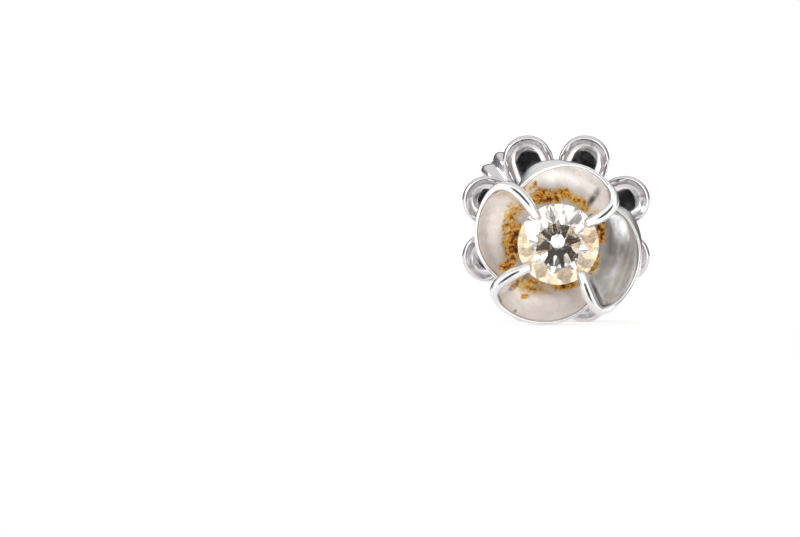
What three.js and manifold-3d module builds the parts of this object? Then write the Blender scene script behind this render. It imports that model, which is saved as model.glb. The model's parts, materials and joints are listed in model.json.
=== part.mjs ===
// A stud earring that lies on a surface: a flower of four cupped petals whose ends curl into claws over a
// brilliant-cut stone, an ear post behind the flower, and a lobed ear nut with two rolled tongues on the post.

import * as THREE from "three";
import { mergeVertices } from "three/addons/utils/BufferGeometryUtils.js";
import Module from "manifold-3d";

const wasm = await Module();
wasm.setup();

// Driving dimensions, in millimetres and degrees. The jewel's own frame has x to the right and y up as it is
// seen from the front, z towards the viewer along the post, and z = 0 at the middle of the stone's girdle.
// Angles turn counterclockwise from x.

// Stone
const STONE_DIAMETER = 3.8;
const TABLE_SHARE = 0.57;
const CROWN_SHARE = 0.15;
const GIRDLE_SHARE = 0.03;
const PAVILION_SHARE = 0.43;
const STAR_SHARE = 0.5;
const LOWER_HALF_SHARE = 0.77;
const MAIN_FACETS = 8;
const STONE_TURN = 12;

// Flower
const PETAL_THICKNESS = 0.26;
const ROOT_RADIUS = 0.95;
const ROOT_HEIGHT = -2.4;
const CUP_RADIUS = 1.75;
const CUP_HEIGHT = -1.1;
const DISH_INSET = 0.42;
const DISH_DEPTH = 1.25;
const CLAW_WALL_RADIUS = 2.42;
const WALL_LEAN = 7;
const LEAN_SHARE = 0.985;
const CORNER_RADIUS = 3.7;
const TUCK_BLEND = 0.16;
const TUCK_STATION = 0.7;
const TUCK_SHARE = 0.68;
const CORNER_FADE = { from: 5, to: 45 };
const CLAW_TIP = { turn: 0, radius: 1.81, height: 0.46, claw: 0.22 };

// One row for each petal: the angle of its claw's tip, how far its outer corner is turned on from there, the
// size of its outline at the corner and along the rest, and how far the belly swells under the tucked end.
const PETALS = [
  { claw: 36.5, corner: 1, cornerSize: 0.935, size: 0.99, belly: 1.5 },
  { claw: 127, corner: 3, cornerSize: 1.04, size: 1.012, belly: 0.1 },
  { claw: 215.5, corner: -2, cornerSize: 1.02, size: 0.978, belly: 0 },
  { claw: 308, corner: -8, cornerSize: 1, size: 1.01, belly: 1.1 },
];

// The rim of a petal, from the end tucked under its neighbour's claw, along the outline and round the corner,
// to where the claw leaves the petal. The turn is counterclockwise from the claw's tip, and the belly is a
// share of the petal's own. The claw is a round bead on the rim, with its radius given where it has one.
const RIM = [
  { turn: 93, radius: 3.12, height: -0.55, belly: 0 },
  { turn: 84, radius: 3.26, height: -0.52, belly: 0.7 },
  { turn: 71, radius: 3.48, height: -0.42, belly: 1 },
  { turn: 58, radius: 3.69, height: -0.26, belly: 0.85 },
  { turn: 46, radius: 3.83, height: -0.1, belly: 0.5 },
  { turn: 34, radius: 3.91, height: 0.06, belly: 0.2 },
  { turn: 22, radius: 3.93, height: 0.2, claw: 0.1 },
  { turn: 12, radius: 3.89, height: 0.33, claw: 0.14 },
  { turn: 4.5, radius: 3.74, height: 0.45, claw: 0.19 },
  { turn: 0, radius: 3.42, height: 0.54, claw: 0.23 },
  { turn: -2, radius: 3.02, height: 0.6, claw: 0.25 },
  { turn: -2.5, radius: 2.6, height: 0.62, claw: 0.25 },
  { turn: -2, radius: 2.24, height: 0.59, claw: 0.24 },
];

// Base and post
const BASE_RADIUS = 1.5;
const BASE_BACK = -3.1;
const BASE_SHOULDER = { radius: 1.62, height: -2.85 };
const BASE_TOP = { radius: 1.2, height: -2.05 };
const POST_RADIUS = 0.45;
const POST_LENGTH = 9.6;
const POST_TIP_LENGTH = 0.5;
const POST_TIP_SHARE = 0.75;

// Ear nut
const NUT_GAP = 3.6;
const LOBE_COUNT = 8;
const LOBE_TURN = 22.5;
const LOBE_CIRCLE_RADIUS = 3.55;
const LOBE_RADIUS = 1.18;
const NOTCH_RADIUS = 3.0;
const NUT_RIM = 0.2;
const NUT_SHEET = 0.3;
const LOBE_DISH_DEPTH = 0.42;
const LOBE_DISH_START = 2.3;
const NUT_HOLE_RADIUS = 0.55;
const TONGUE_TURNS = [135, 315];
const TONGUE_WIDTH = 1.5;
const TONGUE_THICKNESS = 0.26;
const TONGUE_GROOVE = 0.09;
const TONGUE_CENTRE = { radius: 2.55, height: -1.3 };
const TONGUE_REACH = 1.84;
const TONGUE_DEPTH = 1.12;
const TONGUE_START = 105;
const TONGUE_END = -205;

// The tongue's section, as shares of its half width and half thickness.
const TONGUE_SECTION = [
  { across: -1, out: -1 },
  { across: 0, out: -1 },
  { across: 1, out: -1 },
  { across: 1, out: 0.3 },
  { across: 0.75, out: 1 },
  { across: 0.45, out: 1 },
  { across: 0, out: 1, grooved: true },
  { across: -0.45, out: 1 },
  { across: -0.75, out: 1 },
  { across: -1, out: 0.3 },
];

// Fineness of the meshes
const PETAL_STATIONS = 26;
const PETAL_STEPS = 8;
const CLAW_STATIONS = 14;
const CLAW_SIDES = 8;
const POST_SIDES = 20;
const NUT_STEPS = 7;
const EDGE_STEPS = 3;
const TONGUE_STATIONS = 26;
const TILT_STEPS = 40;
const DOME_ANGLES = [35, 65, 85];
const NUDGE = 0.002;
const FINEST_DETAIL = 0.004;

// Angles from a lobe's middle to the notch at which the nut is drawn.
const LOBE_OFFSETS = [0, 5, 10, 14, 17, 19, 20.5];
const ARC_END = 18;

const lerp = THREE.MathUtils.lerp;

function polar(radius, degrees, height) {
  const angle = THREE.MathUtils.degToRad(degrees);
  return new THREE.Vector3(radius * Math.cos(angle), radius * Math.sin(angle), height);
}

// A closed surface through rings of points, all with the same even number of points. Each end is closed by
// strips between the two halves of its ring, unless the last ring joins on to the first.
function loft(rings, endless = false) {
  const count = rings[0].length;
  const positions = rings.flat().flatMap((point) => point.toArray());
  const triangles = [];
  const spans = endless ? rings.length : rings.length - 1;
  for (let span = 0; span < spans; span += 1) {
    const here = span * count;
    const there = ((span + 1) % rings.length) * count;
    for (let side = 0; side < count; side += 1) {
      const next = (side + 1) % count;
      triangles.push(here + side, here + next, there + side);
      triangles.push(here + next, there + next, there + side);
    }
  }
  const closeEnd = (ring, flip) => {
    const start = ring * count;
    for (let side = 0; side < count / 2 - 1; side += 1) {
      const corners = [side, side + 1, count - 2 - side, count - 1 - side].map((index) => start + index);
      const [a, b, c, d] = flip ? [...corners].reverse() : corners;
      triangles.push(a, d, c, a, c, b);
    }
  };
  if (!endless) {
    closeEnd(0, false);
    closeEnd(rings.length - 1, true);
  }
  const geometry = new THREE.BufferGeometry();
  geometry.setAttribute("position", new THREE.Float32BufferAttribute(positions, 3));
  geometry.setIndex(triangles);
  return geometry;
}

function toSolid(geometry) {
  const bare = geometry.clone();
  bare.deleteAttribute("normal");
  bare.deleteAttribute("uv");
  const merged = mergeVertices(bare);
  return new wasm.Manifold(
    new wasm.Mesh({
      numProp: 3,
      vertProperties: new Float32Array(merged.attributes.position.array),
      triVerts: new Uint32Array(merged.index.array),
    }),
  );
}

function toGeometry(solid) {
  const mesh = solid.getMesh();
  const geometry = new THREE.BufferGeometry();
  geometry.setAttribute("position", new THREE.BufferAttribute(mesh.vertProperties, 3));
  geometry.setIndex(new THREE.BufferAttribute(mesh.triVerts, 1));
  geometry.computeVertexNormals();
  return geometry;
}

// One solid from overlapping ones, with the pockets sealed between them filled and slivers smoothed out.
function fuse(geometries) {
  const solids = geometries.map(toSolid);
  const whole = solids.reduce((sum, solid) => sum.add(solid)).simplify(FINEST_DETAIL);
  return toGeometry(whole.decompose().find((shell) => shell.volume() > 0));
}

// The stone: a round brilliant with a table, star, kite and upper half facets on the crown, a girdle, and
// lower half and main facets on the pavilion.
function stoneGeometry() {
  const radius = STONE_DIAMETER / 2;
  const girdle = (GIRDLE_SHARE * STONE_DIAMETER) / 2;
  const crown = CROWN_SHARE * STONE_DIAMETER;
  const pavilion = PAVILION_SHARE * STONE_DIAMETER;
  const table = TABLE_SHARE * radius;
  const step = 360 / MAIN_FACETS;
  const squeeze = Math.cos(THREE.MathUtils.degToRad(step / 2));
  const star = lerp(table * squeeze, radius, STAR_SHARE);
  const starHeight = girdle + ((radius - star * squeeze) * crown) / (radius - table);
  const lower = radius * (1 - LOWER_HALF_SHARE);
  const lowerHeight = -girdle - ((radius - lower * squeeze) * pavilion) / radius;
  const culet = new THREE.Vector3(0, 0, -girdle - pavilion);
  const centre = new THREE.Vector3(0, 0, girdle + crown);
  const faces = [];
  for (let facet = 0; facet < MAIN_FACETS; facet += 1) {
    const [here, between, next] = [0, 0.5, 1].map((share) => STONE_TURN + step * (facet + share));
    const tableHere = polar(table, here, girdle + crown);
    const tableNext = polar(table, next, girdle + crown);
    const starHere = polar(star, between - step, starHeight);
    const starNext = polar(star, between, starHeight);
    const [topHere, topBetween, topNext] = [here, between, next].map((turn) => polar(radius, turn, girdle));
    const [lowHere, lowBetween, lowNext] = [here, between, next].map((turn) => polar(radius, turn, -girdle));
    const lowerHere = polar(lower, between - step, lowerHeight);
    const lowerNext = polar(lower, between, lowerHeight);
    faces.push([centre, tableHere, tableNext]);
    faces.push([tableHere, starNext, tableNext]);
    faces.push([tableHere, starHere, topHere], [tableHere, topHere, starNext]);
    faces.push([starNext, topHere, topBetween], [starNext, topBetween, topNext]);
    faces.push([topHere, lowHere, topBetween], [lowHere, lowBetween, topBetween]);
    faces.push([topBetween, lowBetween, topNext], [lowBetween, lowNext, topNext]);
    faces.push([lowHere, lowerNext, lowBetween], [lowBetween, lowerNext, lowNext]);
    faces.push([culet, lowHere, lowerHere], [culet, lowerNext, lowHere]);
  }
  const positions = faces.flat().flatMap((point) => point.toArray());
  const geometry = new THREE.BufferGeometry();
  geometry.setAttribute("position", new THREE.Float32BufferAttribute(positions, 3));
  return mergeVertices(geometry);
}

// The rim's points on one petal. The corner's turn fades out along the outline and towards the claw's tip.
function rimRows(petal) {
  return RIM.map((row) => {
    const reach = Math.min((row.radius - CLAW_TIP.radius) / (CORNER_RADIUS - CLAW_TIP.radius), 1);
    const nearCorner = 1 - THREE.MathUtils.smoothstep(row.turn, CORNER_FADE.from, CORNER_FADE.to);
    const onClaw = row.turn < CORNER_FADE.from ? reach : 1;
    const size = lerp(petal.size, petal.cornerSize, nearCorner);
    return {
      degrees: petal.claw + row.turn + petal.corner * nearCorner * onClaw,
      radius: row.radius * lerp(1, size, reach),
      height: row.height,
      lean: WALL_LEAN + row.turn * LEAN_SHARE,
      belly: petal.belly * (row.belly ?? 0),
      claw: row.claw,
    };
  });
}

// The middle surface of a free petal: a bent line at each station runs from the root in the base, under the
// stone and through the dish to the rim.
function freeSurface(petal) {
  const rows = rimRows(petal);
  const rim = new THREE.CatmullRomCurve3(rows.map((row) => polar(row.radius, row.degrees, row.height)));
  return (along, across) => {
    const end = rim.getPoint(along);
    const endRadius = Math.hypot(end.x, end.y);
    const place = along * (rows.length - 1);
    const row = Math.min(Math.floor(place), rows.length - 2);
    const rootTurn = petal.claw + lerp(rows[row].lean, rows[row + 1].lean, place - row);
    const belly = lerp(rows[row].belly, rows[row + 1].belly, place - row);
    const endTurn = THREE.MathUtils.radToDeg(Math.atan2(end.y, end.x));
    const swing = THREE.MathUtils.euclideanModulo(endTurn - rootTurn + 180, 360) - 180;
    const line = new THREE.CubicBezierCurve(
      new THREE.Vector2(ROOT_RADIUS, ROOT_HEIGHT),
      new THREE.Vector2(CUP_RADIUS, CUP_HEIGHT),
      new THREE.Vector2(
        Math.max(endRadius - DISH_INSET + belly, CLAW_WALL_RADIUS),
        end.z - DISH_DEPTH,
      ),
      new THREE.Vector2(endRadius, end.z),
    );
    const point = line.getPoint(across);
    return polar(point.x, rootTurn + swing * across, point.y);
  };
}

// The middle surface of a petal in the flower, whose first end is drawn in to the wall under the next claw.
function petalSurface(petal) {
  const next = PETALS[(PETALS.indexOf(petal) + 1) % PETALS.length];
  const own = freeSurface(petal);
  const wall = freeSurface(next);
  return (along, across) => {
    const freed = THREE.MathUtils.smoothstep(along, 0, TUCK_BLEND);
    return wall(TUCK_STATION, across * TUCK_SHARE).lerp(own(along, across), freed);
  };
}

// A petal: its middle surface thickened to both sides, with a round rim.
function petalGeometry(petal) {
  const surface = petalSurface(petal);
  const half = PETAL_THICKNESS / 2;
  const slope = (at, along, across) =>
    at(Math.min(along + NUDGE, 1), across).sub(at(Math.max(along - NUDGE, 0), across));
  const rings = [];
  for (let station = 0; station <= PETAL_STATIONS; station += 1) {
    const along = station / PETAL_STATIONS;
    const front = [];
    const back = [];
    let middle = null;
    let normal = null;
    let outward = null;
    for (let step = 0; step <= PETAL_STEPS; step += 1) {
      const across = step / PETAL_STEPS;
      middle = surface(along, across);
      outward = slope((b, a) => surface(a, b), across, along).normalize();
      normal = slope(surface, along, across).cross(outward).normalize().negate();
      front.push(middle.clone().addScaledVector(normal, half));
      back.unshift(middle.clone().addScaledVector(normal, -half));
    }
    const round = [];
    for (let step = 1; step < EDGE_STEPS; step += 1) {
      const angle = Math.PI * (0.5 - step / EDGE_STEPS);
      const point = middle.clone().addScaledVector(normal, half * Math.sin(angle));
      round.push(point.addScaledVector(outward, half * Math.cos(angle)));
    }
    rings.push([...front, ...round, ...back]);
  }
  return loft(rings);
}

// A round bar along a curve, with a radius for each of its points and a domed far end.
function barGeometry(points, radii) {
  const curve = new THREE.CatmullRomCurve3(points);
  const ring = (centre, tangent, radius) => {
    const side = new THREE.Vector3(0, 0, 1).cross(tangent).normalize();
    const up = tangent.clone().cross(side);
    return Array.from({ length: CLAW_SIDES }, (_, index) => {
      const angle = (2 * Math.PI * index) / CLAW_SIDES;
      const point = centre.clone().addScaledVector(side, radius * Math.cos(angle));
      return point.addScaledVector(up, radius * Math.sin(angle));
    });
  };
  const rings = [];
  for (let station = 0; station <= CLAW_STATIONS; station += 1) {
    const share = station / CLAW_STATIONS;
    const place = share * (radii.length - 1);
    const row = Math.min(Math.floor(place), radii.length - 2);
    const radius = lerp(radii[row], radii[row + 1], place - row);
    rings.push(ring(curve.getPoint(share), curve.getTangent(share), radius));
  }
  const tip = points.at(-1);
  const tipRadius = radii.at(-1);
  const tipTangent = curve.getTangent(1);
  for (const degrees of DOME_ANGLES) {
    const angle = THREE.MathUtils.degToRad(degrees);
    const centre = tip.clone().addScaledVector(tipTangent, tipRadius * Math.sin(angle));
    rings.push(ring(centre, tipTangent, tipRadius * Math.cos(angle)));
  }
  return loft(rings);
}

// A claw: a round bead along the petal's corner that runs on over the edge of the stone.
function clawGeometry(petal) {
  const rows = rimRows(petal).filter((row) => row.claw);
  rows.push({ ...CLAW_TIP, degrees: petal.claw + CLAW_TIP.turn });
  const points = rows.map((row) => polar(row.radius, row.degrees, row.height));
  return barGeometry(points, rows.map((row) => row.claw));
}

// The base under the petals and the ear post behind it, turned about the post's axis.
function baseGeometry() {
  const tip = BASE_BACK - POST_LENGTH;
  const profile = [
    new THREE.Vector2(0, tip),
    new THREE.Vector2(POST_RADIUS * POST_TIP_SHARE, tip + POST_TIP_LENGTH * (1 - POST_TIP_SHARE)),
    new THREE.Vector2(POST_RADIUS, tip + POST_TIP_LENGTH),
    new THREE.Vector2(POST_RADIUS, BASE_BACK),
    new THREE.Vector2(BASE_RADIUS, BASE_BACK),
    new THREE.Vector2(BASE_SHOULDER.radius, BASE_SHOULDER.height),
    new THREE.Vector2(BASE_TOP.radius, BASE_TOP.height),
    new THREE.Vector2(0, BASE_TOP.height),
  ];
  return new THREE.LatheGeometry(profile, POST_SIDES).rotateX(Math.PI / 2);
}

function settingGeometry() {
  const pieces = PETALS.flatMap((petal) => [petalGeometry(petal), clawGeometry(petal)]);
  return fuse([baseGeometry(), ...pieces]);
}

// The outline of the nut: an arc round each lobe, and a narrow notch between two lobes.
function nutRadius(offset) {
  const angle = THREE.MathUtils.degToRad(Math.min(Math.abs(offset), ARC_END));
  const across = LOBE_CIRCLE_RADIUS * Math.sin(angle);
  const arc = LOBE_CIRCLE_RADIUS * Math.cos(angle) + Math.sqrt(LOBE_RADIUS ** 2 - across ** 2);
  const notch = THREE.MathUtils.smoothstep(Math.abs(offset), ARC_END, 180 / LOBE_COUNT);
  return lerp(arc, NOTCH_RADIUS, notch);
}

// How deep the dish of a lobe is at a radius and an angle from the lobe's middle, from 0 on the rim to 1.
function lobeDish(radius, offset) {
  const angle = THREE.MathUtils.degToRad(offset);
  const along = radius * Math.cos(angle);
  const across = radius * Math.sin(angle);
  const half = Math.min(LOBE_RADIUS, along * Math.tan(Math.PI / LOBE_COUNT)) - NUT_RIM;
  const beyond = Math.max(along - LOBE_CIRCLE_RADIUS, 0) / (LOBE_RADIUS - NUT_RIM);
  const before = Math.max(LOBE_DISH_START - along, 0) / (LOBE_DISH_START - 2 * NUT_HOLE_RADIUS);
  return Math.max(1 - (across / half) ** 2 - beyond ** 2 - before ** 2, 0);
}

// The nut's stamped plate: eight dished lobes with a round rim about the hole for the post.
function plateGeometry() {
  const step = 360 / LOBE_COUNT;
  const offsets = [...LOBE_OFFSETS.slice(1).map((offset) => -offset).reverse(), ...LOBE_OFFSETS, step / 2];
  const backDepth = LOBE_DISH_DEPTH - (2 * NUT_RIM - NUT_SHEET);
  const rings = [];
  for (let lobe = 0; lobe < LOBE_COUNT; lobe += 1) {
    for (const offset of offsets) {
      const degrees = LOBE_TURN + step * lobe + offset;
      const edge = nutRadius(offset) - NUT_RIM;
      const front = [];
      const back = [];
      for (let place = 0; place <= NUT_STEPS; place += 1) {
        const radius = lerp(NUT_HOLE_RADIUS, edge, place / NUT_STEPS);
        const dish = lobeDish(radius, offset);
        front.push(polar(radius, degrees, NUT_RIM - LOBE_DISH_DEPTH * dish));
        back.unshift(polar(radius, degrees, -NUT_RIM - backDepth * dish));
      }
      const round = [];
      for (let place = 1; place < EDGE_STEPS; place += 1) {
        const angle = Math.PI * (0.5 - place / EDGE_STEPS);
        round.push(polar(edge + NUT_RIM * Math.cos(angle), degrees, NUT_RIM * Math.sin(angle)));
      }
      rings.push([...front, ...round, ...back]);
    }
  }
  return loft(rings, true);
}

// A tongue of the nut: a strip with a groove along its outer face, rolled from the plate round to the post.
function tongueGeometry(degrees) {
  const half = TONGUE_THICKNESS / 2;
  const section = TONGUE_SECTION.map((corner) => ({
    across: (corner.across * TONGUE_WIDTH) / 2,
    out: corner.out * half - (corner.grooved ? TONGUE_GROOVE : 0),
  }));
  const rings = [];
  for (let station = 0; station <= TONGUE_STATIONS; station += 1) {
    const turn = lerp(TONGUE_START, TONGUE_END, station / TONGUE_STATIONS);
    const angle = THREE.MathUtils.degToRad(turn);
    const outward = new THREE.Vector2(Math.cos(angle) / TONGUE_REACH, Math.sin(angle) / TONGUE_DEPTH);
    outward.normalize();
    rings.push(
      section.map(({ across, out }) => {
        const radius = TONGUE_CENTRE.radius + TONGUE_REACH * Math.cos(angle) + out * outward.x;
        const height = TONGUE_CENTRE.height + TONGUE_DEPTH * Math.sin(angle) + out * outward.y;
        return new THREE.Vector3(radius, across, height);
      }),
    );
  }
  return loft(rings).rotateZ(THREE.MathUtils.degToRad(degrees));
}

function nutGeometry() {
  return fuse([plateGeometry(), ...TONGUE_TURNS.map(tongueGeometry)]);
}

function mesh(name, geometry, color, roughness, metalness) {
  const piece = new THREE.Mesh(geometry, new THREE.MeshStandardMaterial({ color, roughness, metalness }));
  piece.name = name;
  return piece;
}

// The tilt of the post, in radians, at which the flower's rim and the nut's lobes meet the same surface.
function restingTilt(flower, nut) {
  const lowest = (piece, tilt) => {
    const points = piece.geometry.attributes.position;
    let low = Infinity;
    for (let index = 0; index < points.count; index += 1) {
      const along = points.getZ(index) + piece.position.z;
      low = Math.min(low, points.getY(index) * Math.cos(tilt) - along * Math.sin(tilt));
    }
    return low;
  };
  let level = 0;
  let steep = Math.PI / 8;
  for (let step = 0; step < TILT_STEPS; step += 1) {
    const tilt = (level + steep) / 2;
    if (lowest(flower, tilt) > lowest(nut, tilt)) {
      level = tilt;
    } else {
      steep = tilt;
    }
  }
  return (level + steep) / 2;
}

const setting = mesh("flower_setting", settingGeometry(), 0xcfcac4, 0.22, 1);
const stone = mesh("stone", stoneGeometry(), 0xf2ead8, 0.02, 0);
const nut = mesh("ear_nut", nutGeometry(), 0xc9c8c8, 0.16, 1);
nut.position.z = BASE_BACK - NUT_GAP - NUT_RIM;

// The jewel lies with its front towards -Y, on the flower's rim and two lobes of the nut.
const jewel = new THREE.Group();
jewel.add(setting, stone, nut);
jewel.rotation.x = Math.PI / 2 + restingTilt(setting, nut);

// The origin is under the middle of the whole, on the surface that it lies on.
const box = new THREE.Box3().setFromObject(jewel, true);
jewel.position.set(-(box.min.x + box.max.x) / 2, -(box.min.y + box.max.y) / 2, -box.min.z);

const earring = new THREE.Group();
earring.add(jewel);

export default earring;
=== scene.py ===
"""Looks of a stud earring that lies on a pale floor: a worn white-metal flower whose petals curl into
claws over a brilliant-cut stone, with an ear post behind and a bright lobed ear nut on it."""

import json
import math

import bmesh
import bpy
import numpy as np
from mathutils import Matrix, Vector


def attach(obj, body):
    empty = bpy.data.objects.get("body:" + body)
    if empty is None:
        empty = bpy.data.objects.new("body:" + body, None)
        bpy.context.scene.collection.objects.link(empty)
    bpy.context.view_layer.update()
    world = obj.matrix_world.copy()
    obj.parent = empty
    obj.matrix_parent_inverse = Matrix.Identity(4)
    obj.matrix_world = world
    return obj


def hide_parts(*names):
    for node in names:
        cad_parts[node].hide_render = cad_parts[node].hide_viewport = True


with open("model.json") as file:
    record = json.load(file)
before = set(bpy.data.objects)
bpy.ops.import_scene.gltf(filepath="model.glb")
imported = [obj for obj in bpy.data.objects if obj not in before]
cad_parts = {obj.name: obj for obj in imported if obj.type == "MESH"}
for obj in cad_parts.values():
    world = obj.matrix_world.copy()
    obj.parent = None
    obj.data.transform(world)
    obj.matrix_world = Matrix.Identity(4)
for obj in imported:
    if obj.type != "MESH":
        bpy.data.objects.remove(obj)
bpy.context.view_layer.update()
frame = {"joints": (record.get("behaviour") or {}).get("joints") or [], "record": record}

# Driving dimensions, in millimetres and degrees. The jewel's own frame has x to the right and y up as it
# is seen from the front, z towards the viewer along the post, and z = 0 at the middle of the stone's
# girdle. Angles turn counterclockwise from x.
MM = 0.001

# Stone
STONE_RADIUS = 1.9
TABLE_SHARE = 0.57
CROWN_HEIGHT = 0.57
GIRDLE_HALF = 0.057
PAVILION_DEPTH = 1.634
STAR_SHARE = 0.5
LOWER_HALF_SHARE = 0.77
MAIN_FACETS = 8
STONE_TURN = 12
GIRDLE_SIDES = 128

# Film on the stone's crown: the radii between which it sets in, the heights in the front view between
# which it thins out to the top, and the share that is gone there.
FILM_FADE = (0.9, 1.5)
CLEAN_TOP = (0.6, 1.3)
CLEAN_SHARE = 0.7

# Flower
PETAL_HALF = 0.13
RIM_TAPER = 0.7
EDGE_POWER = 8
ROOT = (0.95, -2.4)
CUP = (1.75, -1.1)
DISH_INSET = 0.42
DISH_DEPTH = 1.25
CLAW_WALL_RADIUS = 2.42
WALL_LEAN = 7
LEAN_SHARE = 0.985
CORNER_RADIUS = 3.7
CORNER_FADE = (5, 45)
TUCK_BLEND = 0.16
TUCK_STATION = 0.7
TUCK_SHARE = 0.68
FILLET = 0.06
BEAD_START = 1.2
DOME_END = 88
SEAM_TURN = 178

# Bare metal on a petal's bead, as shares of the bead's radius, and on its rim. The painted shade in the
# crease beside the bead: its place as a share of the bead's radius, and its width.
BEAD_FADE = (0.8, 1.6)
RIM_FADE = (0.06, 0.16)
CREASE_PLACE = 1.12
CREASE_WIDTH = 0.09

# One row for each petal: the angle of its claw's tip, how far its outer corner is turned on from there,
# the size of its outline at the corner and along the rest, how far its belly swells, and how dull its
# metal is, which also makes its front paler as painted light.
PETALS = [
    {"claw": 36.5, "corner": 1, "corner_size": 0.935, "size": 0.99, "belly": 1.5, "bloom": 1.0},
    {"claw": 127, "corner": 3, "corner_size": 1.04, "size": 1.012, "belly": 0.1, "bloom": 0.6},
    {"claw": 215.5, "corner": -2, "corner_size": 1.02, "size": 0.978, "belly": 0, "bloom": 0.6},
    {"claw": 308, "corner": -8, "corner_size": 1, "size": 1.01, "belly": 1.1, "bloom": 0.06},
]

# A petal's rim, from the end tucked under its neighbour's claw, along the outline and round the corner,
# to the claw's tip over the stone: the turn from the claw's tip, the radius, the height, the share of the
# petal's belly, and the radius of the bead on the rim.
RIM_COLUMNS = ("turn", "radius", "height", "belly", "bead")
RIM = [
    (93, 3.12, -0.55, 0, 0.085),
    (84, 3.26, -0.52, 0.7, 0.085),
    (71, 3.48, -0.42, 1, 0.085),
    (58, 3.69, -0.26, 0.85, 0.085),
    (46, 3.83, -0.1, 0.5, 0.085),
    (34, 3.91, 0.06, 0.2, 0.085),
    (22, 3.93, 0.2, 0, 0.1),
    (12, 3.89, 0.33, 0, 0.135),
    (4.5, 3.74, 0.45, 0, 0.2),
    (0, 3.42, 0.54, 0, 0.26),
    (-2, 3.02, 0.6, 0, 0.28),
    (-2.5, 2.6, 0.62, 0, 0.28),
    (-2, 2.24, 0.59, 0, 0.27),
    (0, 1.81, 0.46, 0, 0.25),
]
TIP_RADIUS = RIM[-1][1]

# Base and post: radius and height along the turned outline, from the post's tip to the top of the base,
# the least radius that a turned point keeps, and how dull the metal is, which also makes it paler as
# painted light.
BASE_BACK = -3.1
POST_OUTLINE = [
    (0.0, -12.7),
    (0.2, -12.68),
    (0.32, -12.6),
    (0.41, -12.42),
    (0.45, -12.2),
    (0.45, -3.18),
    (0.48, -3.12),
    (0.54, -3.1),
    (1.44, -3.1),
    (1.53, -3.07),
    (1.61, -2.93),
    (1.62, -2.85),
    (1.58, -2.76),
    (1.22, -2.1),
    (1.18, -2.05),
    (0.0, -2.05),
]
AXIS_RADIUS = 0.004
POST_DULL_AND_PAINTED_LIGHT = 0.2

# Ear nut
NUT_HEIGHT = -6.9
LOBE_COUNT = 8
LOBE_TURN = 22.5
LOBE_CIRCLE_RADIUS = 3.55
LOBE_RADIUS = 1.18
NOTCH_RADIUS = 3.0
ARC_END = 18
NUT_RIM = 0.2
NUT_SHEET = 0.3
LOBE_DISH_DEPTH = 0.36
LOBE_DISH_START = 2.3
LOBE_DISH_POWER = 5.5
LOBE_DISH_SLOPE = 0.14
NUT_HOLE_RADIUS = 0.55
TONGUE_TURNS = (135, 315)
TONGUE_WIDTH = 1.5
TONGUE_HALF = 0.13
TONGUE_LEAST_HALF = 0.002
TONGUE_EDGE_POWER = 6
TONGUE_GROOVE = 0.24
TONGUE_GROOVE_SHARE = 0.33
TONGUE_DROOP = 0.2
TONGUE_DROOP_POWER = 4
TONGUE_CENTRE = (2.55, -1.3)
TONGUE_REACH = 1.84
TONGUE_DEPTH = 1.12
TONGUE_ARC = (105, -205)

# Fineness of the meshes
PETAL_STATIONS = 144
PETAL_STEPS = 46
RIM_CROWDING = 1.8
CLAW_STATIONS = 12
EDGE_STEPS = 12
DOME_STEPS = 7
POST_SIDES = 96
LOBE_STEPS = 40
NUT_STEPS = 22
TONGUE_STATIONS = 100
TONGUE_STEPS = 14
SMOOTH_LIMIT = 38

# Spots on the petals: place in the front view, half length, half width, turn of the length, and strength.
# First the brown stains, then the grey painted shade in the folds beside the claws and in a dish, and then
# the dents, with their depth.
SPOT_FALL = 1.2
SPOT_POWER = 1.5
SPOT_COLUMNS = ("x", "y", "length", "width", "turn", "strength")
STAINS = [
    (-0.71, 2.13, 0.62, 0.37, 3, 1.1),
    (-0.35, 1.97, 0.75, 0.15, 5, 1.4),
    (0.16, 2.28, 0.5, 0.26, 5, 0.85),
    (0.85, 1.98, 0.62, 0.28, -25, 0.8),
    (1.25, 1.62, 0.32, 0.2, -40, 0.9),
    (-1.2, 2.6, 0.36, 0.26, 60, 0.5),
    (-1.0, 1.98, 0.35, 0.22, 20, 0.9),
    (-2.2, 0.34, 1.58, 0.46, 88, 0.75),
    (-2.05, -0.05, 0.95, 0.3, 87, 1.9),
    (-2.42, -1.13, 0.4, 0.26, 30, 1.0),
    (-1.88, 1.48, 0.5, 0.36, 60, 0.55),
    (-1.3, -2.03, 1.1, 0.45, -15, 0.65),
    (-1.23, -1.89, 0.5, 0.3, -10, 0.7),
    (-1.56, -2.53, 0.17, 0.14, 0, 1.0),
    (0.36, -2.02, 0.55, 0.24, 8, 1.9),
    (1.96, 0.72, 0.8, 0.24, 98, 1.8),
    (2.28, 1.27, 0.26, 0.2, 40, 0.8),
    (1.75, -1.1, 0.6, 0.16, 62, 0.85),
]
# Painted shade: grey darkening laid into the folds beside the claws and into one dish.
PAINTED_SHADE_SPOTS = [
    (1.66, 2.14, 0.62, 0.15, 60, 1.1),
    (-1.64, 2.12, 0.7, 0.13, -59, 1.0),
    (-1.9, -1.9, 0.75, 0.13, 38, 0.9),
    (1.72, -2.2, 0.7, 0.12, -72, 0.75),
    (2.88, -0.42, 0.85, 0.66, 84, 0.55),
    (-2.02, -3.14, 0.09, 0.05, 40, 1.2),
]
DENTS = [
    (2.75, -1.06, 1.35, 0.9, 82, 0.12),
]

# Camera: millimetres on a pixel of the photograph's frame, and where the stone's middle falls in it.
FRAME_PIXELS = (800, 537)
STONE_PIXEL = (558.2, 244.3)
MM_PER_PIXEL = 0.04684
CAMERA_DISTANCE = 500
CAMERA_ELEVATION = 1.0
SENSOR = 36

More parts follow.
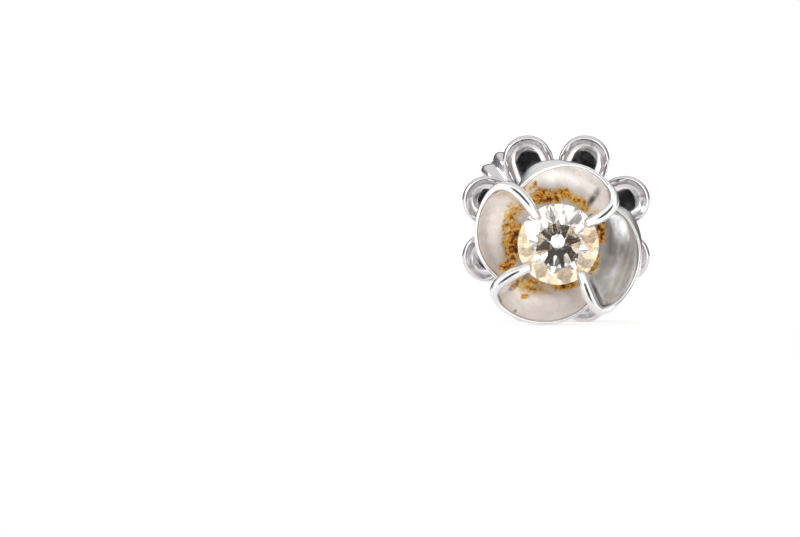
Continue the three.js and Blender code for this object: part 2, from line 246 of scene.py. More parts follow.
# Colours
BARE_METAL = (0.7, 0.705, 0.71)
# The worn colour is partly painted light: it is paler than bare metal so that the deep petal cups look as
# bright as the claws.
WORN_METAL_WITH_PAINTED_LIGHT = ((1.0, 0.97, 0.95), (0.9, 0.83, 0.785))
SPECK_COLOR = (0.36, 0.26, 0.18)
STAIN_FILM_COLOR = (0.95, 0.7, 0.31)
# The grey of the painted shade in the folds and the crease.
PAINTED_SHADE_COLOR = (0.13, 0.11, 0.1)
CRUST_STOPS = (
    (0.0, (1.0, 0.78, 0.4)),
    (0.25, (1.0, 0.54, 0.06)),
    (0.5, (0.95, 0.36, 0.02)),
    (0.75, (0.46, 0.13, 0.012)),
    (1.0, (0.09, 0.03, 0.008)),
)
NUT_METAL = ((0.66, 0.635, 0.64), (0.6, 0.59, 0.605))
CLEAR_STONE = (0.95, 0.97, 1.0)
STONE_FILM = ((0.8, 0.6, 0.34), (0.7, 0.48, 0.24))
FLOOR_COLORS = ((0.93, 0.925, 0.92), (0.9, 0.895, 0.89))
FLOOR_GLOW = 0.35
STONE_IOR = 2.417

# Noise patterns: features in a millimetre, levels of detail, and roughness of the detail.
RAGGED_EDGE = (3.0, 12, 0.78)
CRUST_GRAIN = (14, 5, 0.65)
CRUST_FLECK = (5.0, 8, 0.7)
DULL_CLOUD = (0.9, 4, 0.55)
WORN_MOTTLE = (1.7, 7, 0.65)
DARK_SPECK = (9, 3, 0.7)
PAINTED_SHADE_SMUDGE = (1.5, 5, 0.55)
PETAL_SMEAR = (2.5, 5, 0.55)
PETAL_SCRATCH = (22, 3, 0.55)
SMALL_DENT = (1.1, 2, 0.55)
NUT_CLOUD = (0.8, 4, 0.55)
NUT_SMEAR = (2.2, 5, 0.55)
NUT_SCRATCH = (20, 3, 0.55)
STONE_DUST = (6, 6, 0.6)
FLOOR_CLOUD = (0.05, 3, 0.55)

# Light: the tent's brightness from behind the flower (0) to straight in front of it (1), with a dark
# opening there. Then the tints of its left and right sides, its roof, the ground below it, the light low
# in front and a small lamp, and the directions between which each of them sets in.
TENT_STOPS = (
    (0.0, (0.16, 0.16, 0.16)),
    (0.5, (0.32, 0.32, 0.32)),
    (0.68, (0.8, 0.8, 0.8)),
    (0.78, (2.0, 2.0, 2.0)),
    (0.937, (2.0, 2.0, 2.0)),
    (0.962, (0.01, 0.011, 0.014)),
)
TENT_LEFT = (0.9, 0.92, 0.94)
TENT_RIGHT = (1.0, 0.95, 0.91)
SIDE_FADE = (-0.9, 0.9)
TENT_ROOF = (1.0, 1.0, 1.0)
ROOF_FADE = (0.35, 0.8)
TENT_BELOW = (0.5, 0.57, 0.66)
BELOW_FADE = (-0.6, -0.95)
TENT_LOW_FRONT = (3.4, 3.4, 3.4)
LOW_FADE = (-0.45, -0.65)
FRONT_FADE = (0.15, 0.5)
LAMP_FACING = (-0.815, 0.421, 0.398)
LAMP_EDGE = (0.975, 0.988)
LAMP_COLOR = (6.5, 6.5, 6.5)
GLARE_LIMIT = 4.0
LIGHT_BOUNCES = 24
GLOSSY_BOUNCES = 8

# Floor, in metres
FLOOR_FRONT = -0.0095
FLOOR_HALF = 1.5

# The jewel's frame in the part's: the post's tilt comes from the nut's slide, and the place from the
# mount behind.
BACK = Vector(frame["joints"][0]["axis"])
MOUNT = frame["record"]["mounts"][0]
MOUNT_POINT = Vector((1.0, 0.0, BASE_BACK)) * MM
TURN = Matrix.Rotation(math.pi / 2 + math.atan2(BACK.z, BACK.y), 4, "X")
JEWEL = Matrix.Translation(Vector(MOUNT["pos_m"]) - TURN @ MOUNT_POINT) @ TURN


def polar(radius, degrees, height):
    angle = np.radians(degrees)
    parts = np.broadcast_arrays(radius * np.cos(angle), radius * np.sin(angle), height)
    return np.stack(parts, axis=-1)


def smoothstep(value, low, high):
    share = np.clip((value - low) / (high - low), 0, 1)
    return share * share * (3 - 2 * share)


def lerp(start, end, share):
    return start + (end - start) * share


def unit(vectors):
    return vectors / np.linalg.norm(vectors, axis=-1, keepdims=True)


def curve_points(rows, places):
    """Points on a smooth curve through the rows, whose first three columns are positions."""
    ends = np.vstack([2 * rows[0] - rows[1], rows, 2 * rows[-1] - rows[-2]])
    gaps = np.sqrt(np.linalg.norm(np.diff(ends[:, :3], axis=0), axis=1))
    index = np.clip(np.floor(places).astype(int), 0, len(rows) - 2)
    share = (places - index)[:, None]
    before, start, end, after = (ends[index + step] for step in range(4))
    gap_before, gap, gap_after = (gaps[index + step][:, None] for step in range(3))
    leave = (start - before) / gap_before - (end - before) / (gap_before + gap) + (end - start) / gap
    reach = (end - start) / gap - (after - start) / (gap + gap_after) + (after - end) / gap_after
    square = 3 * (end - start) - (2 * leave + reach) * gap
    cube = 2 * (start - end) + (leave + reach) * gap
    return start + share * (leave * gap + share * (square + share * cube))


def loft_faces(rings, sides, first, endless=False):
    """Quads through rings of points that follow each other from the given first index, with closed ends."""
    faces = []
    for ring in range(rings if endless else rings - 1):
        here = first + ring * sides
        there = first + (ring + 1) % rings * sides
        for side in range(sides):
            after = (side + 1) % sides
            faces.append((here + side, here + after, there + after, there + side))
    if not endless:
        for start, step in ((first, -1), (first + (rings - 1) * sides, 1)):
            for side in range((sides - 1) // 2):
                # In a ring with an odd number of sides, the last of these is a triangle.
                corners = dict.fromkeys((side, side + 1, sides - 2 - side, sides - 1 - side))
                faces.append(tuple(start + corner for corner in list(corners)[::step]))
    return faces


class Shells:
    """Points, faces and point values of the closed shells that make up one piece, in the jewel's frame."""

    def __init__(self):
        self.points = []
        self.faces = []
        self.values = {"stain": [], "bloom": [], "grime": []}
        self.count = 0

    def add(self, rings, endless=False, **values):
        total, sides = rings.shape[:2]
        self.faces += loft_faces(total, sides, self.count, endless)
        self.points.append(rings.reshape(-1, 3))
        for name, stored in self.values.items():
            stored.append(np.broadcast_to(values.get(name, 0.0), (total, sides)).reshape(-1))
        self.count += total * sides

    def to_object(self, name, material):
        mesh = bpy.data.meshes.new(name)
        points = [JEWEL @ Vector(point * MM) for point in np.vstack(self.points)]
        mesh.from_pydata(points, [], self.faces)
        for attribute, stored in self.values.items():
            layer = mesh.attributes.new(attribute, "FLOAT", "POINT")
            layer.data.foreach_set("value", np.concatenate(stored).astype(np.float32))
        return finish_mesh(name, mesh, material)


def finish_mesh(name, mesh, material):
    """An object of the mesh, with its faces turned outwards and smooth up to a really sharp edge."""
    work = bmesh.new()
    work.from_mesh(mesh)
    bmesh.ops.recalc_face_normals(work, faces=work.faces)
    work.to_mesh(mesh)
    work.free()
    mesh.shade_smooth()
    mesh.set_sharp_from_angle(angle=math.radians(SMOOTH_LIMIT))
    mesh.materials.append(material)
    piece = bpy.data.objects.new(name, mesh)
    bpy.context.scene.collection.objects.link(piece)
    return piece


# Flower
def rim_rows(petal):
    """The petal's rim: position, turn of the root that each point grows from, belly and bead radius."""
    rows = []
    for values in RIM:
        row = dict(zip(RIM_COLUMNS, values))
        reach = min((row["radius"] - TIP_RADIUS) / (CORNER_RADIUS - TIP_RADIUS), 1)
        near_corner = 1 - smoothstep(row["turn"], *CORNER_FADE)
        on_claw = reach if row["turn"] < CORNER_FADE[0] else 1
        size = lerp(petal["size"], petal["corner_size"], near_corner)
        degrees = petal["claw"] + row["turn"] + petal["corner"] * near_corner * on_claw
        place = polar(row["radius"] * lerp(1, size, reach), degrees, row["height"])
        root_turn = petal["claw"] + WALL_LEAN + row["turn"] * LEAN_SHARE
        rows.append([*place, root_turn, petal["belly"] * row["belly"], row["bead"]])
    return np.array(rows)


def free_surface(petal, along, across):
    """The middle surface of a free petal, from its root in the base, under the stone and through the
    dish to the rim."""
    rows = rim_rows(petal)
    rim = curve_points(rows, along * (len(rows) - 2))[:, None, :]
    end_radius = np.hypot(rim[..., 0], rim[..., 1])
    end_turn = np.degrees(np.arctan2(rim[..., 1], rim[..., 0]))
    root_turn = rim[..., 3]
    swing = (end_turn - root_turn + 180) % 360 - 180
    dish_radius = np.maximum(end_radius - DISH_INSET + rim[..., 4], CLAW_WALL_RADIUS)
    radii = (ROOT[0], CUP[0], dish_radius, end_radius)
    heights = (ROOT[1], CUP[1], rim[..., 2] - DISH_DEPTH, rim[..., 2])
    share = across[None, :]
    weights = ((1 - share) ** 3, 3 * (1 - share) ** 2 * share, 3 * (1 - share) * share**2, share**3)
    radius = sum(weight * value for weight, value in zip(weights, radii))
    height = sum(weight * value for weight, value in zip(weights, heights))
    return polar(radius, root_turn + swing * share, height)


def petal_surface(index, along, across):
    """The middle surface of a petal in the flower, whose first end is drawn in under the next claw."""
    following = PETALS[(index + 1) % len(PETALS)]
    wall = free_surface(following, np.array([TUCK_STATION]), across * TUCK_SHARE)
    freed = smoothstep(along, 0, TUCK_BLEND)[:, None, None]
    return lerp(wall, free_surface(PETALS[index], along, across), freed)


def spots_at(points, spots):
    """How strong the spots of a table are at points of the front view."""
    total = np.zeros(points.shape[:-1])
    for values in spots:
        spot = dict(zip(SPOT_COLUMNS, values))
        angle = math.radians(spot["turn"])
        right = points[..., 0] - spot["x"]
        up = points[..., 1] - spot["y"]
        along = (right * math.cos(angle) + up * math.sin(angle)) / spot["length"]
        across = (up * math.cos(angle) - right * math.sin(angle)) / spot["width"]
        fall = SPOT_FALL * (along**2 + across**2) ** SPOT_POWER
        total = np.maximum(total, spot["strength"] * np.exp(-fall))
    return total


def way_to_rim(surface):
    """How far each point of a petal's surface is from the rim, along its row."""
    steps = np.linalg.norm(np.diff(surface, axis=1), axis=2)
    ways = np.cumsum(steps[:, ::-1], axis=1)[:, ::-1]
    return np.concatenate([ways, np.zeros((len(surface), 1))], axis=1)


def half_thickness(bead, beaded, inward):
    """Half a petal's thickness: a thin sheet that swells into a round bead along part of the rim."""
    sheet = lerp(np.minimum(bead, PETAL_HALF), PETAL_HALF, smoothstep(inward, 0, RIM_TAPER))
    round_half = np.sqrt(np.maximum(bead**2 - inward**2, 0))
    gap = np.maximum(FILLET - np.abs(round_half - sheet), 0)
    half = lerp(sheet, np.maximum(round_half, sheet) + gap**2 / (4 * FILLET), beaded)
    half[:, -1:] = bead
    return half


def claw_rings(rows, outward, normal):
    """The claw's round bar, which runs on from the rim's last station and ends in a dome over the stone."""
    bar = curve_points(rows, len(rows) - 2 + np.linspace(0, 1, CLAW_STATIONS + 1))
    tangent = unit(np.gradient(bar[:, :3], axis=0))
    dome = np.radians(np.linspace(0, DOME_END, DOME_STEPS + 1))[1:]
    tip_radius = bar[-1, 5]
    domed = bar[-1, :3] + tangent[-1] * tip_radius * np.sin(dome)[:, None]
    centres = np.vstack([bar[:, :3], domed])
    tangents = np.vstack([tangent, np.repeat(tangent[-1:], DOME_STEPS, axis=0)])
    radii = np.concatenate([bar[:, 5], tip_radius * np.cos(dome)])
    up = unit(outward - tangents * np.sum(tangents * outward, axis=1, keepdims=True))
    side = np.cross(tangents, up)
    side *= np.sign(np.sum(side * normal, axis=1, keepdims=True))
    under = np.linspace(SEAM_TURN, 90, PETAL_STEPS + 1)
    over = np.linspace(90, -90, EDGE_STEPS + 1)[1:-1]
    turns = np.radians(np.concatenate([under, over, -under[::-1]]))
    circle = np.cos(turns)[None, :, None] * up[:, None] + np.sin(turns)[None, :, None] * side[:, None]
    return centres[:, None] + radii[:, None, None] * circle


def petal_marks(petal, front, bead, beaded, inward):
    """How stained and dull a petal's front is, the dull parts also paler as painted light, and where
    painted shade darkens its folds. Its bead and its rim are bare metal.
    """
    on_bead = beaded * (1 - smoothstep(inward, BEAD_FADE[0] * bead, BEAD_FADE[1] * bead))
    on_rim = np.maximum(on_bead, 1 - smoothstep(inward, *RIM_FADE))
    # Painted shade: a dark line along the crease beside the bead, and dark spots in the folds.
    in_crease = np.exp(-(((inward - CREASE_PLACE * bead) / CREASE_WIDTH) ** 2))
    folded = spots_at(front, PAINTED_SHADE_SPOTS) * (1 - on_bead)
    return {
        "stain": spots_at(front, STAINS) * (1 - on_bead),
        # The dull share also paints the front paler as painted light, apart from the bead and the rim.
        "bloom": petal["bloom"] * (1 - on_rim),
        "grime": np.maximum(in_crease * beaded, folded),
    }


def add_petal(shells, index):
    """A petal: its middle surface thickened to both sides, with a rim that runs on as the claw."""
    petal = PETALS[index]
    along = np.linspace(0, 1, PETAL_STATIONS + 1)
    across = 1 - (1 - np.linspace(0, 1, PETAL_STEPS + 1)) ** RIM_CROWDING
    middle = petal_surface(index, along, across)
    rows = rim_rows(petal)
    bead = curve_points(rows, along * (len(rows) - 2))[:, 5:]
    outward = unit(np.gradient(middle, across, axis=1))
    reach = np.maximum(PETAL_HALF - bead, 0) * across**EDGE_POWER
    middle = middle + outward[:, -1:] * reach[..., None]
    normal = unit(np.cross(np.gradient(middle, along, axis=0), outward))
    inward = way_to_rim(middle)
    beaded = smoothstep(bead, PETAL_HALF, BEAD_START * PETAL_HALF)
    half = half_thickness(bead, beaded, inward)
    front = middle + normal * (half - spots_at(middle, DENTS) * (inward > bead))[..., None]
    back = (middle - normal * half[..., None])[:, ::-1]
    angles = np.radians(np.linspace(90, -90, EDGE_STEPS + 1))[None, 1:-1, None]
    edge = bead[..., None] * (np.cos(angles) * outward[:, -1:] + np.sin(angles) * normal[:, -1:])
    rings = np.concatenate([front, middle[:, -1:] + edge, back], axis=1)
    claw = claw_rings(rows, outward[-1, -1], normal[-1, -1])
    values = {}
    for name, marks in petal_marks(petal, front, bead, beaded, inward).items():
        values[name] = np.zeros((len(rings) + len(claw), rings.shape[1]))
        values[name][: len(rings), : PETAL_STEPS + 1] = marks
    shells.add(np.concatenate([rings, claw]), **values)


def add_post(shells):
    """The base under the petals and the ear post, turned about the post's axis."""
    outline = np.array(POST_OUTLINE)
    turns = np.linspace(0, 360, POST_SIDES, endpoint=False)
    rings = polar(np.maximum(outline[:, :1], AXIS_RADIUS), turns[None, :], outline[:, 1:])
    shells.add(rings, bloom=POST_DULL_AND_PAINTED_LIGHT)


def make_flower(material):
    shells = Shells()
    for index in range(len(PETALS)):
        add_petal(shells, index)
    add_post(shells)
    return shells.to_object("flower", material)


# Stone
def facet_planes():
    """A point and an outward normal for each facet of a round brilliant, girdle apart."""
    table = TABLE_SHARE * STONE_RADIUS
    step = 360 / MAIN_FACETS
    squeeze = math.cos(math.radians(step / 2))
    top = GIRDLE_HALF + CROWN_HEIGHT
    star = lerp(table * squeeze, STONE_RADIUS, STAR_SHARE)
    star_height = GIRDLE_HALF + (STONE_RADIUS - star * squeeze) * CROWN_HEIGHT / (STONE_RADIUS - table)
    lower = STONE_RADIUS * (1 - LOWER_HALF_SHARE)
    lower_height = -GIRDLE_HALF - (STONE_RADIUS - lower * squeeze) * PAVILION_DEPTH / STONE_RADIUS
    culet = np.array([0, 0, -GIRDLE_HALF - PAVILION_DEPTH])
    corners = [polar(table, STONE_TURN + 120 * third, top) for third in range(3)]
    for facet in range(MAIN_FACETS):
        here = STONE_TURN + step * facet
        turns = (here, here + step / 2, here + step)
        table_here, table_next = (polar(table, turn, top) for turn in (turns[0], turns[2]))
        star_before, star_next = (polar(star, here + side * step / 2, star_height) for side in (-1, 1))
        rim = [polar(STONE_RADIUS, turn, GIRDLE_HALF) for turn in turns]
        low = [polar(STONE_RADIUS, turn, -GIRDLE_HALF) for turn in turns]
        lower_before, lower_next = (polar(lower, here + side * step / 2, lower_height) for side in (-1, 1))
        corners += [table_here, star_next, table_next]
        corners += [star_before, rim[0], star_next]
        corners += [star_next, rim[0], rim[1], star_next, rim[1], rim[2]]
        corners += [lower_next, low[0], low[1], lower_next, low[1], low[2]]
        corners += [culet, lower_before, lower_next]
    for first, second, third in np.array(corners).reshape(-1, 3, 3):
        normal = np.cross(second - first, third - first)
        yield first, normal * np.sign(normal @ first)


def make_stone(material):
    """A round brilliant, cut from a cylinder along the plane of each facet."""
    work = bmesh.new()
    depth = 2 * (PAVILION_DEPTH + CROWN_HEIGHT)
    bmesh.ops.create_cone(
        work,
        cap_ends=True,
        segments=GIRDLE_SIDES,
        radius1=STONE_RADIUS,
        radius2=STONE_RADIUS,
        depth=depth,
    )
    for point, normal in facet_planes():
        everything = work.verts[:] + work.edges[:] + work.faces[:]
        cut = bmesh.ops.bisect_plane(
            work,
            geom=everything,
            dist=1e-5,
            plane_co=point,
            plane_no=normal,
            clear_outer=True,
        )
        edges = [item for item in cut["geom_cut"] if isinstance(item, bmesh.types.BMEdge)]
        if edges:
            bmesh.ops.contextual_create(work, geom=edges)
    bmesh.ops.remove_doubles(work, verts=work.verts, dist=1e-4)
    bmesh.ops.transform(work, matrix=JEWEL @ Matrix.Scale(MM, 4), verts=work.verts)
    mesh = bpy.data.meshes.new("cut_stone")
    work.to_mesh(mesh)
    work.free()
    piece = finish_mesh("cut_stone", mesh, material)
    mesh.shade_flat()
    layer = mesh.attributes.new("film", "FLOAT", "FACE")
    inverse = JEWEL.inverted()
    for face, value in zip(mesh.polygons, layer.data):
        centre = inverse @ face.center / MM
        film = smoothstep(centre.xy.length, *FILM_FADE) if centre.z > 0 else 0
        value.value = film * (1 - CLEAN_SHARE * smoothstep(centre.y, *CLEAN_TOP))
    return piece


# Ear nut
def nut_radius(offset):
    """The nut's outline at an angle from a lobe's middle: an arc round the lobe, and a narrow notch."""
    angle = np.radians(np.minimum(np.abs(offset), ARC_END))
    across = LOBE_CIRCLE_RADIUS * np.sin(angle)
    arc = LOBE_CIRCLE_RADIUS * np.cos(angle) + np.sqrt(LOBE_RADIUS**2 - across**2)
    return lerp(arc, NOTCH_RADIUS, smoothstep(np.abs(offset), ARC_END, 180 / LOBE_COUNT))


def lobe_dish(radius, offset):
    """How deep a lobe's dish is at a radius and an angle from the lobe's middle, from 0 on the rim to 1."""
    angle = np.radians(offset)
    along = radius * np.cos(angle)
    across = radius * np.sin(angle)
    half = np.minimum(LOBE_RADIUS, along * math.tan(math.pi / LOBE_COUNT)) - NUT_RIM
    beyond = np.maximum(along - LOBE_CIRCLE_RADIUS, 0) / (LOBE_RADIUS - NUT_RIM)
    before = np.maximum(LOBE_DISH_START - along, 0) / (LOBE_DISH_START - 2 * NUT_HOLE_RADIUS)
    from_middle = np.sqrt((across / half) ** 2 + beyond**2 + before**2)
    return np.maximum(1 - from_middle**LOBE_DISH_POWER, 0)


def add_plate(shells):
    """The nut's stamped plate: dished lobes with a round rim about the hole for the post."""
    step = 360 / LOBE_COUNT
    offsets = np.linspace(-step / 2, step / 2, LOBE_STEPS, endpoint=False)
    offsets = np.tile(offsets, LOBE_COUNT)[:, None]
    turns = LOBE_TURN + np.repeat(np.arange(LOBE_COUNT), LOBE_STEPS)[:, None] * step + offsets
    edge = nut_radius(offsets) - NUT_RIM
    radius = lerp(NUT_HOLE_RADIUS, edge, np.linspace(0, 1, NUT_STEPS + 1)[None, :])
    dish = lobe_dish(radius, offsets)
    depth = LOBE_DISH_DEPTH + LOBE_DISH_SLOPE * (radius - LOBE_CIRCLE_RADIUS)
    back_depth = depth - (2 * NUT_RIM - NUT_SHEET)
    front = polar(radius, turns, NUT_RIM - depth * dish)
    back = polar(radius, turns, -NUT_RIM - back_depth * dish)[:, ::-1]
    angles = np.radians(np.linspace(90, -90, EDGE_STEPS + 1))[None, 1:-1]
    edge = polar(edge + NUT_RIM * np.cos(angles), turns, NUT_RIM * np.sin(angles))
    rings = np.concatenate([front, edge, back], axis=1)
    rings[..., 2] += NUT_HEIGHT
    shells.add(rings, endless=True)


def add_tongue(shells, degrees):
    """A strip with a groove along its outer face, rolled from the nut's plate round to the post."""
    across = np.sin(np.linspace(-math.pi / 2, math.pi / 2, TONGUE_STEPS))
    round_edge = TONGUE_HALF * np.sqrt(1 - np.abs(across) ** TONGUE_EDGE_POWER) + TONGUE_LEAST_HALF
    groove = TONGUE_GROOVE * np.exp(-((across / TONGUE_GROOVE_SHARE) ** 2))
    bend = -groove - TONGUE_DROOP * np.abs(across) ** TONGUE_DROOP_POWER
    side = np.concatenate([across, across[::-1]]) * TONGUE_WIDTH / 2
    out = np.concatenate([bend - round_edge, (bend + round_edge)[::-1]])
    angle = np.radians(np.linspace(*TONGUE_ARC, TONGUE_STATIONS))[:, None]
    outward = unit(np.stack([np.cos(angle) / TONGUE_REACH, np.sin(angle) / TONGUE_DEPTH], axis=-1))
    radius = TONGUE_CENTRE[0] + TONGUE_REACH * np.cos(angle) + out * outward[..., 0]
    height = TONGUE_CENTRE[1] + TONGUE_DEPTH * np.sin(angle) + out * outward[..., 1]
    turn = math.radians(degrees)
    right = radius * math.cos(turn) - side * math.sin(turn)
    up = radius * math.sin(turn) + side * math.cos(turn)
    shells.add(np.stack([right, up, height + NUT_HEIGHT], axis=-1))


def make_nut(material):
    shells = Shells()
    add_plate(shells)
    for degrees in TONGUE_TURNS:
        add_tongue(shells, degrees)
    return shells.to_object("lobed_nut", material)


# Materials
def new_material(name):
    material = bpy.data.materials.new(name)
    material.use_nodes = True
    return material.node_tree, material.node_tree.nodes["Principled BSDF"], material


def add_node(tree, kind, inputs=None, **settings):
    """A new node with its settings, and its inputs set to values or linked to sockets."""
    made = tree.nodes.new(kind)
    for name, value in settings.items():
        setattr(made, name, value)
    for key, value in (inputs or {}).items():
        if isinstance(value, bpy.types.NodeSocket):
            tree.links.new(value, made.inputs[key])
        else:
            made.inputs[key].default_value = value
    return made


def math_node(tree, operation, first, second=0.0, third=0.0):
    inputs = {0: first, 1: second, 2: third}
    return add_node(tree, "ShaderNodeMath", inputs, operation=operation).outputs[0]


def dot_product(tree, first, second):
    inputs = {0: first, 1: second}
    return add_node(tree, "ShaderNodeVectorMath", inputs, operation="DOT_PRODUCT").outputs["Value"]


def attribute(tree, name):
    return add_node(tree, "ShaderNodeAttribute", attribute_name=name).outputs["Fac"]


def noise(tree, place, scale, detail, roughness):
    inputs = {"Vector": place, "Scale": scale, "Detail": detail, "Roughness": roughness}
    return add_node(tree, "ShaderNodeTexNoise", inputs).outputs["Fac"]


def remap(tree, value, from_low, from_high, to_low=0.0, to_high=1.0):
    inputs = {"Value": value, "From Min": from_low, "From Max": from_high}
    inputs |= {"To Min": to_low, "To Max": to_high}
    return add_node(tree, "ShaderNodeMapRange", inputs, interpolation_type="SMOOTHSTEP").outputs["Result"]


def remap_straight(tree, value, from_low, from_high):
    inputs = {"Value": value, "From Min": from_low, "From Max": from_high}
    return add_node(tree, "ShaderNodeMapRange", inputs).outputs["Result"]


def ramp(tree, value, stops):
    made = add_node(tree, "ShaderNodeValToRGB", {"Fac": value})
    elements = made.color_ramp.elements
    while len(elements) < len(stops):
        elements.new(0.5)
    for element, (position, color) in zip(elements, stops):
        element.position = position
        element.color = (*color, 1)
    return made.outputs["Color"]


def mix_color(tree, share, first, second):
    made = add_node(tree, "ShaderNodeMix", {"Factor": share}, data_type="RGBA")
    for socket, value in ((made.inputs[6], first), (made.inputs[7], second)):
        if isinstance(value, bpy.types.NodeSocket):
            tree.links.new(value, socket)
        else:
            socket.default_value = (*value, 1)
    return made.outputs[2]


def place_in_mm(tree, stretch=(1, 1, 1)):
    coordinates = add_node(tree, "ShaderNodeTexCoord").outputs["Object"]
    scale = tuple(share / MM for share in stretch)
    return add_node(tree, "ShaderNodeMapping", {"Vector": coordinates, "Scale": scale}).outputs["Vector"]


def bump(tree, height, distance, normal=None):
    inputs = {"Height": height, "Distance": distance * MM}
    if normal is not None:
        inputs["Normal"] = normal
    return add_node(tree, "ShaderNodeBump", inputs).outputs["Normal"]


def metal_color(tree, place, stain, ragged):
    """Bare or worn metal, the worn metal paler as painted light, with dark specks, a yellow film round the
    stains, and painted shade in the folds.
    """
    # Painted light: where the metal is dull, it takes the paler worn colour.
    worn = mix_color(tree, remap(tree, noise(tree, place, *WORN_MOTTLE), 0.38, 0.66), *WORN_METAL_WITH_PAINTED_LIGHT)
    metal = mix_color(tree, remap(tree, attribute(tree, "bloom"), 0.08, 0.32), BARE_METAL, worn)
    speck = remap(tree, noise(tree, place, *DARK_SPECK), 0.62, 0.72)
    metal = mix_color(tree, math_node(tree, "MULTIPLY", speck, 0.65), metal, SPECK_COLOR)
    film = remap(tree, math_node(tree, "MULTIPLY", stain, ragged), 0.03, 0.3)
    metal = mix_color(tree, film, metal, STAIN_FILM_COLOR)
    # Painted shade in the folds and the crease, broken up by a smudge pattern.
    smudge = remap(tree, noise(tree, place, *PAINTED_SHADE_SMUDGE), 0.32, 0.55, 0.4, 0.95)
    shade_share = math_node(tree, "MULTIPLY", attribute(tree, "grime"), smudge)
    return mix_color(tree, shade_share, metal, PAINTED_SHADE_COLOR)


def crust_cover(tree, stain, ragged):
    """Where the crust lies: in ragged patches, which grow together where the stain is strong."""
    level = math_node(tree, "MULTIPLY_ADD", ragged, 4.4, -2.2)
    level = math_node(tree, "ADD", level, stain)
    level = math_node(tree, "MULTIPLY", level, remap(tree, stain, 0.02, 0.2))
    return remap(tree, level, 0.4, 0.56)


def crust_color(tree, place, stain):
    """Flecks from pale orange to dark brown, darker where the stain is strong."""
    tone = math_node(tree, "MULTIPLY_ADD", noise(tree, place, *CRUST_FLECK), 5.0, -2.5)
    return ramp(tree, math_node(tree, "MULTIPLY_ADD", stain, 0.52, tone), CRUST_STOPS)


def worn_metal_with_painted_shading():
    """White metal, satin where it is worn and paler there as painted light, with specks, painted shade in
    the folds, fine scratches and small dents, and with a brown crust where it is stained."""
    tree, shader, material = new_material("worn_white_metal")
    place = place_in_mm(tree)
    stain = attribute(tree, "stain")
    ragged = noise(tree, place, *RAGGED_EDGE)
    cover = crust_cover(tree, stain, ragged)
    metal = metal_color(tree, place, stain, ragged)
    color = mix_color(tree, cover, metal, crust_color(tree, place, stain))
    tree.links.new(color, shader.inputs["Base Color"])
    cloud = remap(tree, noise(tree, place, *DULL_CLOUD), 0.2, 0.6, 0.5, 1.0)
    dull = math_node(tree, "MULTIPLY", attribute(tree, "bloom"), cloud)
    bare = math_node(tree, "MULTIPLY_ADD", dull, -0.35, 1.0)
    uncovered = math_node(tree, "SUBTRACT", 1.0, cover)
    tree.links.new(math_node(tree, "MULTIPLY", bare, uncovered), shader.inputs["Metallic"])
    satin = math_node(tree, "MULTIPLY_ADD", noise(tree, place, *PETAL_SMEAR), 0.14, 0.16)
    satin = math_node(tree, "MULTIPLY_ADD", dull, 0.22, satin)
    tree.links.new(math_node(tree, "MULTIPLY_ADD", cover, 0.4, satin), shader.inputs["Roughness"])
    scratched = bump(tree, noise(tree, place_in_mm(tree, (1, 0.2, 1)), *PETAL_SCRATCH), 0.0015)
    dented = bump(tree, noise(tree, place, *SMALL_DENT), 0.03, scratched)
    crusted = math_node(tree, "MULTIPLY", cover, noise(tree, place, *CRUST_GRAIN))
    tree.links.new(bump(tree, crusted, 0.05, dented), shader.inputs["Normal"])
    return material


def bright_metal():
    """White metal with a bright polish, fine scratches and faint smears."""
    tree, shader, material = new_material("bright_white_metal")
    place = place_in_mm(tree)
    color = mix_color(tree, noise(tree, place, *NUT_CLOUD), *NUT_METAL)
    tree.links.new(color, shader.inputs["Base Color"])
    shader.inputs["Metallic"].default_value = 1.0
    smear = noise(tree, place, *NUT_SMEAR)
    tree.links.new(remap(tree, smear, 0.3, 0.75, 0.1, 0.2), shader.inputs["Roughness"])
    scratch = noise(tree, place_in_mm(tree, (0.25, 1, 1)), *NUT_SCRATCH)
    tree.links.new(bump(tree, scratch, 0.002), shader.inputs["Normal"])
    return material


def clear_stone():
    """A clear stone with a champagne-coloured film on its crown."""
    tree, shader, material = new_material("champagne_stone")
    dust = noise(tree, place_in_mm(tree), *STONE_DUST)
    filmed = attribute(tree, "film")
    warm = mix_color(tree, dust, *STONE_FILM)
    tree.links.new(mix_color(tree, filmed, CLEAR_STONE, warm), shader.inputs["Base Color"])
    film = math_node(tree, "MULTIPLY", filmed, remap(tree, dust, 0.3, 0.7, 0.3, 0.65))
    tree.links.new(math_node(tree, "SUBTRACT", 1.0, film), shader.inputs["Transmission Weight"])
    tree.links.new(math_node(tree, "MULTIPLY", film, 0.1), shader.inputs["Roughness"])
    shader.inputs["IOR"].default_value = STONE_IOR
    return material


def pale_floor():
    """A pale, dull table top with a faint glow of its own."""
    tree, shader, material = new_material("pale_floor")
    cloud = noise(tree, place_in_mm(tree), *FLOOR_CLOUD)
    tree.links.new(mix_color(tree, cloud, *FLOOR_COLORS), shader.inputs["Base Color"])
    shader.inputs["Roughness"].default_value = 0.5
    shader.inputs["Specular IOR Level"].default_value = 0.1
    shader.inputs["Emission Color"].default_value = (1, 1, 1, 1)
    shader.inputs["Emission Strength"].default_value = FLOOR_GLOW
    return material


# Floor, light and camera
def make_floor():
    """A pale table top, whose front edge is just in front of the earring."""
    places = ((-1, FLOOR_FRONT), (1, FLOOR_FRONT), (1, FLOOR_HALF), (-1, FLOOR_HALF))
    corners = [(side * FLOOR_HALF, depth, 0) for side, depth in places]
    mesh = bpy.data.meshes.new("floor")
    mesh.from_pydata(corners, [], [(0, 1, 2, 3)])
    mesh.materials.append(pale_floor())
    floor = bpy.data.objects.new("floor", mesh)
    bpy.context.scene.collection.objects.link(floor)


def set_up_render(scene):
    scene.view_settings.view_transform = "Standard"
    scene.cycles.use_denoising = True
    scene.cycles.sample_clamp_indirect = GLARE_LIMIT
    scene.cycles.max_bounces = LIGHT_BOUNCES
    scene.cycles.glossy_bounces = GLOSSY_BOUNCES
    scene.cycles.transmission_bounces = LIGHT_BOUNCES


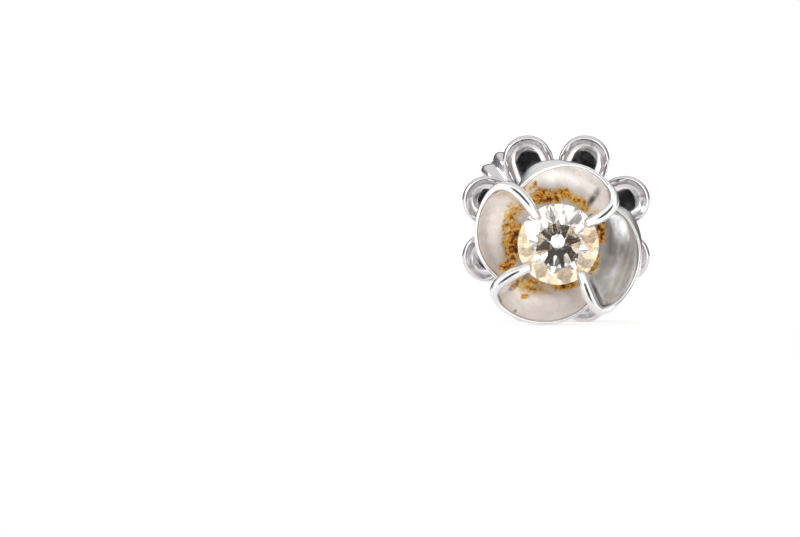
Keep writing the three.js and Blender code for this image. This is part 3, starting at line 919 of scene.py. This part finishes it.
def make_light():
    """A white tent, brightest round a dark opening that the flower faces and dim behind, with a light low
    in front and a small lamp at the upper left."""
    scene = bpy.context.scene
    scene.world = bpy.data.worlds.new("tent")
    scene.world.use_nodes = True
    tree = scene.world.node_tree
    background = tree.nodes["Background"]
    direction = add_node(tree, "ShaderNodeTexCoord").outputs["Generated"]
    parts = add_node(tree, "ShaderNodeSeparateXYZ", {"Vector": direction})
    rightward = parts.outputs["X"]
    upward = parts.outputs["Z"]
    facing = dot_product(tree, direction, -BACK)
    cloth = ramp(tree, remap_straight(tree, facing, -1, 1), TENT_STOPS)
    tint = mix_color(tree, remap(tree, rightward, *SIDE_FADE), TENT_LEFT, TENT_RIGHT)
    inputs = {0: 1.0, 6: cloth, 7: tint}
    tinted = add_node(tree, "ShaderNodeMix", inputs, data_type="RGBA", blend_type="MULTIPLY")
    tent = mix_color(tree, remap(tree, upward, *ROOF_FADE), tinted.outputs[2], TENT_ROOF)
    tent = mix_color(tree, remap(tree, upward, *BELOW_FADE), tent, TENT_BELOW)
    low = remap(tree, upward, *LOW_FADE)
    low_front = math_node(tree, "MULTIPLY", low, remap(tree, facing, *FRONT_FADE))
    tent = mix_color(tree, low_front, tent, TENT_LOW_FRONT)
    to_lamp = dot_product(tree, direction, TURN.to_3x3() @ Vector(LAMP_FACING))
    tent = mix_color(tree, remap(tree, to_lamp, *LAMP_EDGE), tent, LAMP_COLOR)
    seen = add_node(tree, "ShaderNodeLightPath").outputs["Is Camera Ray"]
    tree.links.new(mix_color(tree, seen, tent, (1, 1, 1)), background.inputs["Color"])
    background.inputs["Strength"].default_value = 1.0


def make_camera():
    """The camera looks along the photograph's line of sight, from just above the floor."""
    data = bpy.data.cameras.new("camera")
    data.sensor_width = SENSOR
    data.lens = SENSOR * CAMERA_DISTANCE / (FRAME_PIXELS[0] * MM_PER_PIXEL)
    camera = bpy.data.objects.new("camera", data)
    bpy.context.scene.collection.objects.link(camera)
    turn = Matrix.Rotation(math.radians(90 - CAMERA_ELEVATION), 4, "X")
    offset = Vector(
        (
            (FRAME_PIXELS[0] / 2 - STONE_PIXEL[0]) * MM_PER_PIXEL,
            (STONE_PIXEL[1] - FRAME_PIXELS[1] / 2) * MM_PER_PIXEL,
            CAMERA_DISTANCE,
        )
    )
    camera.matrix_world = Matrix.Translation(JEWEL.translation) @ turn @ Matrix.Translation(offset * MM)
    bpy.context.scene.camera = camera


flower = make_flower(worn_metal_with_painted_shading())
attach(flower, "stud")
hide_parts("flower_setting")

stone = make_stone(clear_stone())
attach(stone, "stud")
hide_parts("stone")

nut = make_nut(bright_metal())
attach(nut, "ear_nut")
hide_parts("ear_nut")

make_floor()
make_light()
make_camera()
set_up_render(bpy.context.scene)
